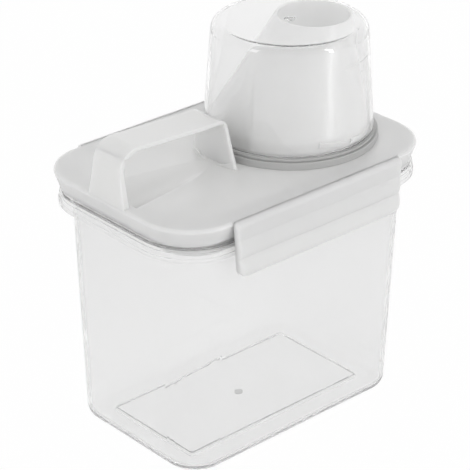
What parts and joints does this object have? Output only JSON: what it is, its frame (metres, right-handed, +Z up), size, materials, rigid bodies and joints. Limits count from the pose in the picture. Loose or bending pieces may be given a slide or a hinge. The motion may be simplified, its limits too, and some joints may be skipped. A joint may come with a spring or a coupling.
{
  "type": "laundry pod dispenser",
  "caption": "Clear tapered tub for laundry pods with a white latching lid, strap handle, slanted pouring spout and a clear measuring cup over it.",
  "frame": {"origin": "middle of the container's foot, on the surface it stands on", "axes": "+X along the lid from the handle towards the spout and cup, +Y across the lid to the rear latch, +Z up"},
  "size_m": [0.185, 0.1334, 0.2193],
  "materials": {
    "clear_plastic": "clear and smooth, lightly frosted where the wall is thick",
    "white_plastic": "white, satin moulded surface",
    "soft_seal": "pale grey translucent silicone, dull"
  },
  "bodies": {
    "tub": {"container": "clear_plastic", "lid": "white_plastic", "lid_gasket": "soft_seal", "neck_seal": "soft_seal"},
    "front_latch": {"front_flap": "white_plastic"},
    "rear_latch": {"rear_flap": "white_plastic"},
    "cup": {"measuring_cup": "clear_plastic"}
  },
  "joints": [
    {"name": "front_latch_hinge", "type": "hinge", "parent": "tub", "child": "front_latch", "pos_m": [0, -0.0618, 0.1531], "axis": [-1, 0, 0], "range_deg": [0, 130]},
    {"name": "rear_latch_hinge", "type": "hinge", "parent": "tub", "child": "rear_latch", "pos_m": [0, 0.0618, 0.1531], "axis": [1, 0, 0], "range_deg": [0, 130]},
    {"name": "cup_lift", "type": "slide", "parent": "tub", "child": "cup", "axis": [0, 0, 1], "range_m": [0, 0.12]}
  ]
}
